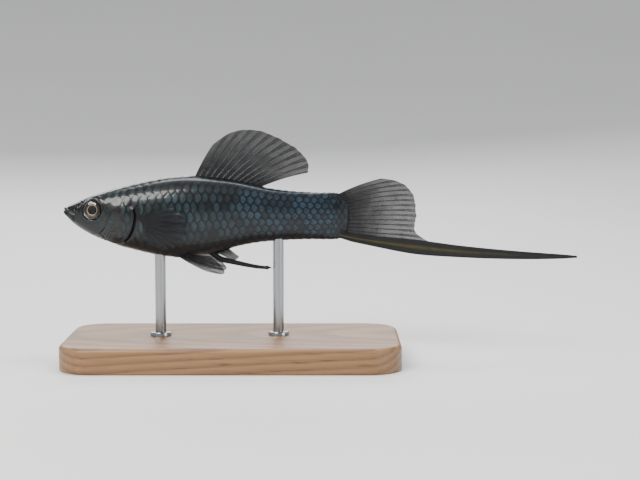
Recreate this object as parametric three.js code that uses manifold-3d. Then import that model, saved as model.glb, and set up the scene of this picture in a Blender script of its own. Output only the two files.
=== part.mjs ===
// A life-size model of an adult male black swordtail, a small live-bearing fish of fresh water.
// It swims level on a plain stand: a flat base and two rods that reach up to its belly.
//
// The fish is modelled straight, in millimetres: s runs back from the tip of its snout, y to its
// right and h up from the axis of its body. A gentle swimming curve is put in last.
import * as THREE from "three";
import { mergeVertices } from "three/addons/utils/BufferGeometryUtils.js";
import Module from "manifold-3d";

const wasm = await Module();
wasm.setup();

// Overall sizes
const totalLength = 140; // snout to the tip of the sword
const bodyLength = 75; // snout to the root of the tail fin
const axisHeight = 40; // body axis above the surface that the stand is on
const gap = 0.3; // kept between neighbours that touch

// Profiles of the body, as [s, size] at a few stations
const backLine = [
  [0, 1.9], [2.5, 3.6], [8, 5.9], [15, 8.1], [24, 10.2], [34, 11.2], [46, 10.1], [58, 7.6], [68, 6.7], [75, 6.6],
];
const bellyLine = [
  [0, 1.9], [2.5, -1.9], [8, -5.3], [15, -8.1], [24, -10.5], [32, -11.3], [41, -10.0], [52, -7.5], [64, -6.6],
  [75, -6.6],
];
const halfWidth = [
  [0, 0], [2.5, 3.0], [8, 4.7], [15, 5.8], [26, 6.2], [36, 5.7], [52, 4.2], [66, 2.8], [75, 1.4],
];
const widestHeight = [[0, 1.9], [8, 0.9], [15, 0.2], [26, 0.5], [40, 0.8], [75, 0]];
const upperSquareness = [[0, 2], [8, 2.9], [15, 2.5], [26, 2.1], [75, 2]]; // 2 is an ellipse
const lowerSquareness = [[0, 2], [8, 2.2], [15, 2.2], [26, 2], [75, 2]];

// A smooth curve through [x, size] stations
function smooth(stations, x) {
  const slope = (i) => {
    const before = stations[Math.max(i - 1, 0)];
    const after = stations[Math.min(i + 1, stations.length - 1)];
    return (after[1] - before[1]) / (after[0] - before[0]);
  };
  const inside = THREE.MathUtils.clamp(x, stations[0][0], stations.at(-1)[0]);
  let i = 0;
  while (i < stations.length - 2 && inside > stations[i + 1][0]) i++;
  const [[startX, start], [endX, end]] = [stations[i], stations[i + 1]];
  const t = (inside - startX) / (endX - startX);
  const startShare = 2 * t ** 3 - 3 * t ** 2 + 1;
  const pull = (t ** 3 - 2 * t ** 2 + t) * slope(i) + (t ** 3 - t ** 2) * slope(i + 1);
  return startShare * start + (1 - startShare) * end + (endX - startX) * pull;
}

// The same for a profile along the body. It is even in the square root of s, so the snout is round.
function along(stations, s) {
  return smooth(stations.map(([at, size]) => [Math.sqrt(at), size]), Math.sqrt(Math.max(s, 0)));
}

const mix = THREE.MathUtils.lerp;
const radians = THREE.MathUtils.degToRad;

// The body's cross-section at s: a superellipse with its own upper and lower half
function section(s) {
  return {
    top: along(backLine, s),
    bottom: along(bellyLine, s),
    half: along(halfWidth, s),
    widest: along(widestHeight, s),
    upper: along(upperSquareness, s),
    lower: along(lowerSquareness, s),
  };
}

// How far the flank stands out at a height
function flankAt(s, h) {
  const c = section(s);
  const reach = h > c.widest ? c.top - c.widest : c.widest - c.bottom;
  const power = h > c.widest ? c.upper : c.lower;
  const share = Math.min(Math.abs(h - c.widest) / reach, 1);
  return c.half * (1 - share ** power) ** (1 / power);
}

// How low the belly reaches at a distance y from the middle
function bellyAt(s, y) {
  const c = section(s);
  return c.widest - (c.widest - c.bottom) * (1 - (Math.abs(y) / c.half) ** c.lower) ** (1 / c.lower);
}

// A solid from points and triangles, turned to face out
function solidOf(points, triangles) {
  const [a, b, c] = [new THREE.Vector3(), new THREE.Vector3(), new THREE.Vector3()];
  let volume = 0;
  for (const [i, j, k] of triangles) {
    volume += a.fromArray(points[i]).dot(b.fromArray(points[j]).cross(c.fromArray(points[k])));
  }
  const facing = volume > 0 ? triangles : triangles.map(([i, j, k]) => [i, k, j]);
  return new wasm.Manifold(new wasm.Mesh({
    numProp: 3,
    vertProperties: new Float32Array(points.flat()),
    triVerts: new Uint32Array(facing.flat()),
  }));
}

// A three.js geometry as a solid
function solidOfGeometry(geometry) {
  const bare = geometry.index ? geometry.toNonIndexed() : geometry.clone();
  bare.deleteAttribute("normal");
  bare.deleteAttribute("uv");
  const merged = mergeVertices(bare, 1e-4);
  return new wasm.Manifold(new wasm.Mesh({
    numProp: 3,
    vertProperties: new Float32Array(merged.attributes.position.array),
    triVerts: new Uint32Array(merged.index.array),
  }));
}

// A solid carried through a row of closed rings, with both ends closed to their middles
function ringSolid(rings) {
  const count = rings[0].length;
  const points = rings.flat();
  const triangles = [];
  for (let i = 0; i < rings.length - 1; i++) {
    for (let j = 0; j < count; j++) {
      const next = (j + 1) % count;
      const [a, b, c, d] = [i * count + j, i * count + next, (i + 1) * count + next, (i + 1) * count + j];
      triangles.push([a, b, c], [a, c, d]);
    }
  }
  for (const [ring, first] of [[rings[0], 0], [rings.at(-1), (rings.length - 1) * count]]) {
    const middle = [0, 1, 2].map((k) => ring.reduce((sum, p) => sum + p[k], 0) / count);
    points.push(middle);
    for (let j = 0; j < count; j++) {
      const pair = [first + j, first + ((j + 1) % count)];
      if (first) pair.reverse();
      triangles.push([points.length - 1, pair[1], pair[0]]);
    }
  }
  return solidOf(points, triangles);
}

// A tapered tube of oval section along a path: radiusAt gives its half height and half width
function tubeSolid(pathPoints, stepsAlong, sides, radiusAt) {
  const path = new THREE.CatmullRomCurve3(pathPoints.map((p) => new THREE.Vector3(...p)));
  const up = new THREE.Vector3(0, 0, 1);
  const rings = [];
  for (let i = 0; i <= stepsAlong; i++) {
    const t = i / stepsAlong;
    const centre = path.getPoint(t);
    const across = new THREE.Vector3().crossVectors(path.getTangent(t), up).normalize();
    const [high, wide] = radiusAt(t);
    rings.push(Array.from({ length: sides }, (_, j) => {
      const turn = (2 * Math.PI * j) / sides;
      return centre.clone()
        .addScaledVector(across, wide * Math.cos(turn))
        .addScaledVector(up, high * Math.sin(turn))
        .toArray();
    }));
  }
  return ringSolid(rings);
}

// A fin: point(u, v) is its middle surface, u from root to edge and v from its first ray to its last.
// Each ray is a ridge on both faces, and both faces are split into the same triangles.
const columnsInARay = [0, 0.32, 0.68]; // the ridge, then the web on both sides of the next gap
function finSolid({ rays, rows, point, web, ridge }) {
  const columns = [];
  for (let i = 0; i < rays - 1; i++) {
    for (const part of columnsInARay) columns.push({ v: (i + part) / (rays - 1), onRay: part === 0 });
  }
  columns.push({ v: 1, onRay: true });
  const step = 1e-3;
  const at = (u, v) => new THREE.Vector3(...point(u, v));
  const front = [];
  const back = [];
  for (const { v, onRay } of columns) {
    for (let j = 0; j <= rows; j++) {
      const u = j / rows;
      const alongRay = at(u + step, v).sub(at(u - step, v));
      const acrossRays = at(u, v + step).sub(at(u, v - step));
      const normal = alongRay.cross(acrossRays).normalize();
      const half = web(u, v) / 2 + (onRay ? ridge(u) : 0);
      front.push(at(u, v).addScaledVector(normal, half).toArray());
      back.push(at(u, v).addScaledVector(normal, -half).toArray());
    }
  }
  const tall = rows + 1;
  const size = front.length;
  const triangles = [];
  for (let i = 0; i < columns.length - 1; i++) {
    for (let j = 0; j < rows; j++) {
      const [a, b, c, d] = [i * tall + j, (i + 1) * tall + j, (i + 1) * tall + j + 1, i * tall + j + 1];
      triangles.push([a, b, c], [a, c, d], [size + a, size + c, size + b], [size + a, size + d, size + c]);
    }
  }
  const last = (columns.length - 1) * tall;
  const rim = [
    ...Array.from({ length: columns.length }, (_, i) => i * tall),
    ...Array.from({ length: rows }, (_, j) => last + j + 1),
    ...Array.from({ length: columns.length - 1 }, (_, i) => last + rows - (i + 1) * tall),
    ...Array.from({ length: rows - 1 }, (_, j) => rows - 1 - j),
  ];
  rim.forEach((a, i) => {
    const b = rim[(i + 1) % rim.length];
    triangles.push([a, size + a, size + b], [a, size + b, b]);
  });
  return solidOf([...front, ...back], triangles);
}

// A profile in s and h, extruded across the body from y = low to y = high
function prism(profile, low, high) {
  const shape = new THREE.Shape(profile.map(([s, h]) => new THREE.Vector2(s, h)));
  const geometry = new THREE.ExtrudeGeometry(shape, { depth: high - low, bevelEnabled: false });
  return solidOfGeometry(geometry.rotateX(Math.PI / 2).translate(0, high, 0));
}

const farOut = 30; // past every side of the body
const cutHeight = 8.57; // how far above and below the axis the two ends of a cut are given

// The part of space in front of, or behind, a line across the body from the back to the belly
function sideOfLine([topS, bottomS], wayBack, shift) {
  const far = wayBack ? bodyLength + farOut : -farOut;
  const runOn = ((topS - bottomS) * (farOut - cutHeight)) / (2 * cutHeight);
  return prism([
    [topS + shift + runOn, farOut],
    [far, farOut],
    [far, -farOut],
    [bottomS + shift - runOn, -farOut],
  ], -farOut, farOut);
}

// Only the largest closed piece of a solid
function largest(solid) {
  return solid.decompose().reduce((best, piece) => (piece.volume() > best.volume() ? piece : best));
}

// The whole body as one solid, grown or shrunk by a distance. Its rings are closer together at the head.
const ringPoints = 36;
const ringCount = 40;
const crowding = 1.6;
const leastHalf = 0.05;
function fleshSolid(grow = 0) {
  const rings = [];
  for (let i = 1; i <= ringCount; i++) {
    const t = i / ringCount;
    const s = bodyLength * t ** crowding;
    const c = section(s);
    const half = Math.max(c.half + grow, leastHalf);
    const top = Math.max(c.top + grow, c.widest + leastHalf);
    const bottom = Math.min(c.bottom - grow, c.widest - leastHalf);
    rings.push(Array.from({ length: ringPoints }, (_, j) => {
      const turn = (2 * Math.PI * j) / ringPoints;
      const [up, side] = [Math.cos(turn), Math.sin(turn)];
      const power = 2 / (up > 0 ? c.upper : c.lower);
      const y = half * Math.sign(side) * Math.abs(side) ** power;
      const h = c.widest + (up > 0 ? top - c.widest : c.widest - bottom) * Math.sign(up) * Math.abs(up) ** power;
      return [s + grow * (2 * t - 1), y, h];
    }));
  }
  return ringSolid(rings);
}

const flesh = fleshSolid();
const nearFlesh = fleshSolid(gap); // what grows from the body is cut by this, to leave the gap

// Eyes: a shallow dome in a round socket with a low rim
const eye = {
  s: 8.1, h: 2.15, radius: 2.7, dome: 0.75, domePower: 2.2, depth: 1.5, turnForward: 9, turnUp: 9, sink: 0.25,
  rim: 0.42, rimInset: 0.17, sides: 28,
};

function eyeFrame(side) {
  const [forward, up] = [radians(eye.turnForward), radians(eye.turnUp)];
  const level = Math.cos(up);
  const out = new THREE.Vector3(-Math.sin(forward) * level, side * Math.cos(forward) * level, Math.sin(up));
  const turn = new THREE.Quaternion().setFromUnitVectors(new THREE.Vector3(0, 1, 0), out);
  const place = new THREE.Vector3(eye.s, side * flankAt(eye.s, eye.h), eye.h).addScaledVector(out, -eye.sink);
  return new THREE.Matrix4().compose(place, turn, new THREE.Vector3(1, 1, 1));
}

// A body of revolution round the eye's own axis, from [radius, distance out] pairs
function turnedOnEye(side, profile) {
  const geometry = new THREE.LatheGeometry(profile.map(([r, out]) => new THREE.Vector2(r, out)), eye.sides);
  return solidOfGeometry(geometry.applyMatrix4(eyeFrame(side)));
}

function eyeball(side, grow = 0) {
  const profile = [[0, -eye.depth - grow]];
  const wallSteps = 4;
  for (let i = 1; i <= wallSteps; i++) {
    const turn = (Math.PI / 2) * (i / wallSteps);
    profile.push([(eye.radius + grow) * Math.sin(turn), -(eye.depth + grow) * Math.cos(turn)]);
  }
  const domeSteps = 5;
  for (let i = 1; i < domeSteps; i++) {
    const share = 1 - i / domeSteps;
    profile.push([(eye.radius + grow) * share, (eye.dome + grow) * Math.sqrt(1 - share ** eye.domePower)]);
  }
  profile.push([0, eye.dome + grow]);
  return turnedOnEye(side, profile);
}

function orbitRim(side) {
  const middle = eye.radius + gap + eye.rimInset;
  const corners = 8;
  const profile = Array.from({ length: corners + 1 }, (_, i) => {
    const turn = (2 * Math.PI * (i % corners)) / corners;
    return [middle + eye.rim * Math.cos(turn), eye.rim * Math.sin(turn)];
  });
  return turnedOnEye(side, profile);
}

// Nostrils: two small pits on each side, between the eye and the lip
const nostrils = [[3.5, 2.5], [5.0, 4.1]];
const nostrilRadius = 0.36;
const nostrilDepth = 0.54;

function nostrilPit(side, [s, h]) {
  const geometry = new THREE.SphereGeometry(nostrilRadius, 10, 6).scale(1, nostrilDepth / nostrilRadius, 1);
  return solidOfGeometry(geometry.translate(s, side * flankAt(s, h), h));
}

// Mouth: a short cleft that slopes down and back from the tip of the snout
const mouth = {
  slope: 0.7, cornerS: 3.3, jawEndS: 5.4, startS: -6,
  upperLip: 0.48, lowerLip: 0.55, lipSpread: 0.42, lipSetBack: 0.12, lipInset: 0.94, lipTaper: 0.6,
};

function mouthHeight(s) {
  return backLine[0][1] - mouth.slope * s;
}

// The lower jaw's side outline, with its cuts moved by a shift
function jawProfile(shift) {
  return [
    [mouth.startS, mouthHeight(mouth.startS) + shift],
    [mouth.cornerS + shift, mouthHeight(mouth.cornerS) + shift],
    [mouth.jawEndS + shift, -farOut],
    [mouth.startS, -farOut],
  ];
}

// A lip: a round fold that follows the cleft from one corner to the other, and thins towards both
function lip(spread, radius) {
  const points = [];
  const half = 7;
  const nearTip = 0.02; // the body has no width at the very tip
  for (let i = -half; i <= half; i++) {
    const s = mouth.cornerS * (i / half) ** 2;
    const h = mouthHeight(s) + spread;
    const y = Math.sign(i) * flankAt(Math.max(s, nearTip), h) * mouth.lipInset;
    points.push([s + mouth.lipSetBack, y, h]);
  }
  return tubeSolid(points, 22, 10, (t) => {
    const size = radius * (1 - mouth.lipTaper * Math.abs(2 * t - 1) ** 3);
    return [size, size];
  });
}

// Gill covers: a leaning oval plate on each cheek, let into the head and torso and standing a little proud
const gill = {
  s: 15.1, h: -1.2, halfLength: 4.3, halfHeight: 6.1, lean: 17, squareness: 2.2,
  proud: 0.25, inlay: 0.6, midline: 1.2, // the covers stop this far from the fish's middle
};

function gillOutline(grow) {
  const lean = radians(gill.lean);
  const corners = 32;
  return Array.from({ length: corners }, (_, i) => {
    const turn = (2 * Math.PI * i) / corners;
    const power = 2 / gill.squareness;
    const a = (gill.halfLength + grow) * Math.sign(Math.cos(turn)) * Math.abs(Math.cos(turn)) ** power;
    const b = (gill.halfHeight + grow) * Math.sign(Math.sin(turn)) * Math.abs(Math.sin(turn)) ** power;
    return [gill.s + a * Math.cos(lean) + b * Math.sin(lean), gill.h - a * Math.sin(lean) + b * Math.cos(lean)];
  });
}

function gillPrism(side, grow) {
  const [near, far] = [side * (gill.midline - grow), side * farOut];
  return prism(gillOutline(grow), Math.min(near, far), Math.max(near, far));
}

function gillCover(side) {
  const plate = fleshSolid(gill.proud).subtract(fleshSolid(-gill.inlay));
  return largest(plate.intersect(gillPrism(side, 0)));
}

// The space that both covers take out of the head and torso
function gillPockets() {
  const both = gillPrism(1, gap).add(gillPrism(-1, gap));
  return both.subtract(fleshSolid(-gill.inlay - gap));
}

// Cuts across the body, as [s at the back, s at the belly]
const neckCut = [16.5, 13.5];
const tailCut = [56, 56];

function head() {
  let solid = flesh.add(lip(mouth.lipSpread, mouth.upperLip));
  for (const side of [1, -1]) solid = solid.add(orbitRim(side));
  solid = solid.intersect(sideOfLine(neckCut, false, -gap / 2));
  solid = solid.subtract(prism(jawProfile(gap / 2), -farOut, farOut));
  solid = solid.subtract(gillPockets());
  for (const side of [1, -1]) {
    solid = solid.subtract(eyeball(side, gap));
    for (const nostril of nostrils) solid = solid.subtract(nostrilPit(side, nostril));
  }
  return largest(solid);
}

function lowerJaw() {
  const solid = flesh.add(lip(-mouth.lipSpread, mouth.lowerLip));
  return largest(solid.intersect(prism(jawProfile(-gap / 2), -farOut, farOut)));
}

function torso() {
  const solid = flesh
    .intersect(sideOfLine(neckCut, true, gap / 2))
    .intersect(sideOfLine(tailCut, false, -gap / 2));
  return largest(solid.subtract(gillPockets()));
}

function tailStalk() {
  return largest(flesh.intersect(sideOfLine(tailCut, true, gap / 2)));
}

// Fins thin from the root to finWeb, and end in a thinner rim. Shares are of the way out along a ray.
const finWeb = 0.5;
const rayRidge = 0.16;
const rootDepth = 0.9; // how far a fin is first carried into the body, before it is cut to the gap
const thinShare = 0.3; // where the web is as thin as finWeb
const ridgeShare = 0.08; // where the rays stand at their full height
const rimShare = 0.97; // where the thinner rim starts

function webFrom(rootThickness, thinAt = thinShare) {
  return (u) => mix(rootThickness, finWeb, Math.min(u / thinAt, 1)) * (u > rimShare ? 0.75 : 1);
}

function rayHeight(u) {
  return rayRidge * Math.min(u / ridgeShare, 1) * (u > rimShare ? 0.5 : 1);
}

function rooted(fin) {
  return largest(fin.subtract(nearFlesh));
}

// Dorsal fin: a tall flag on the middle of the back
const dorsal = {
  rays: 13, startS: 35.5, base: 17.5, firstAngle: 68, lastAngle: 24, bend: 14, thickness: 1.0,
  wave: 0.45, waves: 1.2, waveStart: 0.1,
  lengths: [[0, 10], [0.1, 14.6], [0.3, 17.6], [0.65, 18], [0.88, 16.4], [1, 13.5]],
};

function dorsalFin() {
  const point = (u, v) => {
    const rootS = dorsal.startS + dorsal.base * v;
    const angle = radians(mix(dorsal.firstAngle, dorsal.lastAngle, v) - (dorsal.bend * u) / 2);
    const reach = (smooth(dorsal.lengths, v) + rootDepth) * u;
    return [
      rootS + reach * Math.cos(angle),
      dorsal.wave * u * Math.sin(2 * Math.PI * (dorsal.waves * v + dorsal.waveStart)),
      along(backLine, rootS) - rootDepth + reach * Math.sin(angle),
    ];
  };
  return rooted(finSolid({ rays: dorsal.rays, rows: 7, point, web: webFrom(dorsal.thickness), ridge: rayHeight }));
}

// The sword: the lowest rays of the tail fin, drawn out into a long flat blade
const finRootS = bodyLength + gap;
const sword = {
  rays: 4, rootH: -5.3, drop: 5.2, ease: 2.4, rootThickness: 1.5, thickness: 0.6, tipShare: 0.75,
  halfHeights: [[0, 1.0], [0.14, 1.4], [0.32, 2.0], [0.5, 1.65], [0.75, 1.1], [0.93, 0.6], [1, 0.25]],
};
const swordLength = totalLength - finRootS;

function swordMiddle(s) {
  const u = THREE.MathUtils.clamp((s - finRootS) / swordLength, 0, 1);
  return sword.rootH - sword.drop * (1 - (1 - u) ** sword.ease);
}

function swordHalf(s) {
  return smooth(sword.halfHeights, (s - finRootS) / swordLength);
}

function caudalSword() {
  const point = (u, v) => {
    const s = finRootS + swordLength * u;
    return [s, 0, swordMiddle(s) + swordHalf(s) * (1 - 2 * v)];
  };
  const web = (u) => {
    const thickness = mix(sword.rootThickness, sword.thickness, Math.min(u / ridgeShare, 1));
    return thickness * mix(1, sword.tipShare, u);
  };
  const ridge = (u) => rayRidge * (1 - u);
  return finSolid({ rays: sword.rays, rows: 24, point, web, ridge });
}

// Tail fin: a fan whose lowest edge runs along the sword
const caudal = {
  rays: 14, rootTop: 6.2, topSlope: 0.5, topCurl: 0.012, wave: 0.5, rootThickness: 1.5, thinShare: 0.25,
  reaches: [[0, 11.5], [0.06, 15], [0.16, 18.4], [0.35, 20.8], [0.6, 21.3], [0.82, 21], [0.92, 22.4], [1, 26]],
};

function caudalFin() {
  const point = (u, v) => {
    const back = smooth(caudal.reaches, v) * u;
    const s = finRootS + back;
    const topEdge = caudal.rootTop + caudal.topSlope * back - caudal.topCurl * back ** 2;
    const lowEdge = swordMiddle(s) + swordHalf(s) + gap;
    return [s, caudal.wave * u * u * Math.sin(2 * Math.PI * v), mix(topEdge, lowEdge, v)];
  };
  const web = webFrom(caudal.rootThickness, caudal.thinShare);
  return finSolid({ rays: caudal.rays, rows: 8, point, web, ridge: rayHeight });
}

// Gonopodium: the male's anal fin, a rod of its first rays with a few short rays behind
const gonopodium = {
  s: 39.6, length: 17.5, angle: -13, lift: 0.9, kneeShare: 0.2, kneeDrop: 2.6,
  radii: [0.95, 0.55], flatness: 0.85, tipSize: 0.6,
};
const shortRays = {
  rays: 5, setBack: 0.4, base: 4.2, firstLength: 7, lastLength: 4.6, firstAngle: -26, lastAngle: -38,
};
const lowerFinThickness = 0.9; // at the root of the fins on the belly and flank

function analFin() {
  const [s, h] = [gonopodium.s, along(bellyLine, gonopodium.s) + rootDepth];
  const angle = radians(gonopodium.angle);
  const path = [0, gonopodium.kneeShare, 0.45, 0.7, 0.9, 1].map((t) => {
    const drop = gonopodium.kneeDrop * Math.min(t / gonopodium.kneeShare, 1);
    const slant = gonopodium.length * Math.max(t - gonopodium.kneeShare, 0) * Math.sin(angle);
    return [s + gonopodium.length * t * Math.cos(angle), 0, h - drop + slant + gonopodium.lift * t ** 6];
  });
  const rod = tubeSolid(path, 18, 10, (t) => {
    const size = mix(gonopodium.radii[0], gonopodium.radii[1], t) * (t > rimShare ? gonopodium.tipSize : 1);
    return [size, size * gonopodium.flatness];
  });
  const point = (u, v) => {
    const rootS = s + shortRays.setBack + shortRays.base * v;
    const reach = mix(shortRays.firstLength, shortRays.lastLength, v) * u;
    const tilt = radians(mix(shortRays.firstAngle, shortRays.lastAngle, v));
    return [rootS + reach * Math.cos(tilt), 0, along(bellyLine, rootS) + rootDepth + reach * Math.sin(tilt)];
  };
  const web = webFrom(lowerFinThickness);
  return rooted(rod.add(finSolid({ rays: shortRays.rays, rows: 5, point, web, ridge: rayHeight })));
}

// Pelvic fins: a narrow pair under the belly
const pelvic = {
  rays: 6, startS: 29.8, base: 2.6, y: 1.7, splay: 13, firstAngle: -34, lastAngle: -12, curl: 6, pullIn: 1.1,
  lengths: [[0, 9.5], [0.25, 13.5], [0.5, 12], [0.8, 8.5], [1, 6.5]],
};

function pelvicFin(side) {
  const point = (u, v) => {
    const rootS = pelvic.startS + pelvic.base * v;
    const angle = radians(mix(pelvic.firstAngle, pelvic.lastAngle, v) + pelvic.curl * u);
    const reach = (smooth(pelvic.lengths, v) + rootDepth) * u;
    const out = pelvic.y + reach * Math.sin(radians(pelvic.splay)) - pelvic.pullIn * v * u;
    return [
      rootS + reach * Math.cos(angle),
      side * out,
      bellyAt(rootS, pelvic.y) + rootDepth + reach * Math.sin(angle),
    ];
  };
  const web = webFrom(lowerFinThickness);
  return rooted(finSolid({ rays: pelvic.rays, rows: 6, point, web, ridge: rayHeight }));
}

// Pectoral fins: a rounded fan on each flank, close behind the gill cover
const pectoral = {
  rays: 10, s: 20.9, rake: 0.5, topH: 0.4, bottomH: -3.4, firstAngle: 17, lastAngle: -46, out: 36, cup: 10,
  lengths: [[0, 10], [0.2, 13.6], [0.45, 14.6], [0.7, 12.4], [0.88, 9], [1, 6]],
};

function pectoralFin(side) {
  const point = (u, v) => {
    const rootH = mix(pectoral.topH, pectoral.bottomH, v);
    const rise = radians(mix(pectoral.firstAngle, pectoral.lastAngle, v));
    const out = radians(pectoral.out - pectoral.cup * u * (1 - v));
    const reach = (smooth(pectoral.lengths, v) + rootDepth) * u;
    const start = flankAt(pectoral.s, rootH) - rootDepth;
    return [
      pectoral.s + pectoral.rake * v + reach * Math.cos(out) * Math.cos(rise),
      side * (start + reach * Math.sin(out)),
      rootH + reach * Math.cos(out) * Math.sin(rise),
    ];
  };
  const web = webFrom(lowerFinThickness);
  return rooted(finSolid({ rays: pectoral.rays, rows: 7, point, web, ridge: rayHeight }));
}

// Stand: a flat base with two rods, one under the chest and one under the tail stalk
const base = { length: 92, width: 44, height: 7, corner: 9, bevel: 1, middleX: -24 };
const rod = { radius: 1.5, sides: 24, places: { stand_rod_front: 26, stand_rod_rear: 58.5 } };

function standBase() {
  const [x, y, r] = [base.length / 2 - base.bevel, base.width / 2 - base.bevel, base.corner];
  const shape = new THREE.Shape();
  shape.moveTo(-x + r, -y);
  shape.lineTo(x - r, -y).absarc(x - r, -y + r, r, -Math.PI / 2, 0);
  shape.lineTo(x, y - r).absarc(x - r, y - r, r, 0, Math.PI / 2);
  shape.lineTo(-x + r, y).absarc(-x + r, y - r, r, Math.PI / 2, Math.PI);
  shape.lineTo(-x, -y + r).absarc(-x + r, -y + r, r, Math.PI, Math.PI * 1.5);
  const geometry = new THREE.ExtrudeGeometry(shape, {
    depth: base.height - 2 * base.bevel,
    bevelThickness: base.bevel,
    bevelSize: base.bevel,
    bevelSegments: 1,
    curveSegments: 6,
  });
  return solidOfGeometry(geometry.translate(0, 0, base.bevel));
}

// A rod from the base up to the belly, in the fish's own frame
function standRod(s) {
  const foot = base.height + gap - axisHeight;
  const geometry = new THREE.CylinderGeometry(rod.radius, rod.radius, -foot, rod.sides);
  const solid = solidOfGeometry(geometry.rotateX(Math.PI / 2).translate(s, 0, foot / 2));
  return largest(solid.subtract(nearFlesh));
}

// The swimming curve: how far the body's middle lies to the right at s
const swim = { swing: 5.5, wave: 165, phase: -0.75 };
function swimCurve(s) {
  return swim.swing * (s / totalLength) ** 2 * Math.sin((2 * Math.PI * s) / swim.wave + swim.phase);
}

function finish(color, roughness, metalness = 0) {
  return new THREE.MeshStandardMaterial({ color, roughness, metalness });
}

const scaleBlack = finish(0x16181c, 0.35);
const finBlack = finish(0x1c1d20, 0.5);
const eyeDark = finish(0x0b0b0c, 0.12);
const oak = finish(0xb08a5c, 0.5);
const steel = finish(0xb9bcc0, 0.3, 1);

// A named mesh of a solid, curved as the fish swims unless it is kept straight
function part(name, solid, material, curved = true) {
  const { numProp, vertProperties, triVerts } = solid.getMesh();
  const position = new Float32Array((vertProperties.length / numProp) * 3);
  for (let i = 0; i < position.length / 3; i++) {
    const [s, y, h] = vertProperties.subarray(i * numProp, i * numProp + 3);
    position.set([s, curved ? y + swimCurve(s) : y, h], i * 3);
  }
  const geometry = new THREE.BufferGeometry();
  geometry.setAttribute("position", new THREE.BufferAttribute(position, 3));
  geometry.setIndex(new THREE.BufferAttribute(new Uint32Array(triVerts), 1));
  geometry.computeVertexNormals();
  const mesh = new THREE.Mesh(geometry, material);
  mesh.name = name;
  return mesh;
}

const fish = new THREE.Group();
fish.position.set(-totalLength / 2, 0, axisHeight);
fish.add(
  part("head", head(), scaleBlack),
  part("lower_jaw", lowerJaw(), scaleBlack),
  part("torso", torso(), scaleBlack),
  part("tail_stalk", tailStalk(), scaleBlack),
  part("dorsal_fin", dorsalFin(), finBlack),
  part("caudal_fin", caudalFin(), finBlack),
  part("caudal_sword", caudalSword(), finBlack),
  part("gonopodium", analFin(), finBlack),
);
for (const [name, side] of [["right", 1], ["left", -1]]) {
  fish.add(
    part(`eye_${name}`, eyeball(side), eyeDark),
    part(`gill_cover_${name}`, gillCover(side), scaleBlack),
    part(`pectoral_fin_${name}`, pectoralFin(side), finBlack),
    part(`pelvic_fin_${name}`, pelvicFin(side), finBlack),
  );
}
for (const [name, s] of Object.entries(rod.places)) fish.add(part(name, standRod(s), steel));

const standBaseMesh = part("stand_base", standBase(), oak, false);
standBaseMesh.position.set(base.middleX, 0, 0);

const model = new THREE.Group();
model.add(fish, standBaseMesh);

export default model;
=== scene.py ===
import bpy
import numpy as np
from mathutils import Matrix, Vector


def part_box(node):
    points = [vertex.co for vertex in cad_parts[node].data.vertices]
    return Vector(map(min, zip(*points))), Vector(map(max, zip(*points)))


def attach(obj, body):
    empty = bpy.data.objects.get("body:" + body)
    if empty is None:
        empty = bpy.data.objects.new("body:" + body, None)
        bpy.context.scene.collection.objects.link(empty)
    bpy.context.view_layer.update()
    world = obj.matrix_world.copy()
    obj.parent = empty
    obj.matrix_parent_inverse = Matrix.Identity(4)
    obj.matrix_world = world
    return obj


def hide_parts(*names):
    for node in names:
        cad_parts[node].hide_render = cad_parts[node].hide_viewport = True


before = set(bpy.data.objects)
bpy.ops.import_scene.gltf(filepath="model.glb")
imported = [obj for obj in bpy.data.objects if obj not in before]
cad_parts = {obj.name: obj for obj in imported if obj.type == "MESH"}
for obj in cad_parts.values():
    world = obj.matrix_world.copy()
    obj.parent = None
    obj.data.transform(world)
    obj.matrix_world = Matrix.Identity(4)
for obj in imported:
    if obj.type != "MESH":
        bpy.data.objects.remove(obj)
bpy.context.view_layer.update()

# A black swordtail at life size, on a wooden base with two steel rods. The fish is worked out
# straight, in millimetres: s runs back from the snout, y to its right, h up from its body's axis
fish = dict(
    totalLength=140,  # snout to the tip of the sword
    bodyLength=75,  # snout to the root of the tail fin
    axisHeight=40,
    swing=5.5, wave=165, phase=-0.75,  # the swimming curve
)
profiles = dict(
    top=((0, 1.9), (2.5, 3.6), (8, 5.9), (15, 8.1), (24, 10.2), (34, 11.2), (46, 10.1), (58, 7.6), (68, 6.7),
         (75, 6.6)),
    bottom=((0, 1.9), (2.5, -1.9), (8, -5.3), (15, -8.1), (24, -10.5), (32, -11.3), (41, -10.0), (52, -7.5),
            (64, -6.6), (75, -6.6)),
    half=((0, 0), (2.5, 3.0), (8, 4.7), (15, 5.8), (26, 6.2), (36, 5.7), (52, 4.2), (66, 2.8), (75, 1.4)),
    widest=((0, 1.9), (8, 0.9), (15, 0.2), (26, 0.5), (40, 0.8), (75, 0)),
    upper=((0, 2), (8, 2.9), (15, 2.5), (26, 2.1), (75, 2)),  # how square the upper half is; 2 is round
    lower=((0, 2), (8, 2.2), (15, 2.2), (26, 2), (75, 2)),
)
snoutX = 1000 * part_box("caudal_sword")[1].x - fish["totalLength"]
sides = {"right": 1, "left": -1}


def placed(points):
    # y gains swing * (s / length)^2 * sin(2 pi s / wave + phase); then the snout goes to its place
    s, y, h = np.moveaxis(np.asarray(points, float), -1, 0)
    swimPhase = 2 * np.pi * s / fish["wave"] + fish["phase"]
    bend = fish["swing"] * (s / fish["totalLength"]) ** 2 * np.sin(swimPhase)
    return np.stack([s + snoutX, y + bend, h + fish["axisHeight"]], -1) / 1000


def mix(first, second, share):
    return first + (second - first) * share


def softStep(x, low, high):
    # 0 up to low, 1 from high on, and 3 t^2 - 2 t^3 between
    t = np.clip((x - low) / (high - low), 0, 1)
    return t * t * (3 - 2 * t)


def window(x, rise, fall):
    # rises to 1 over the first pair of places and falls back over the second
    return softStep(x, *rise) * (1 - softStep(x, *fall))


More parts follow.
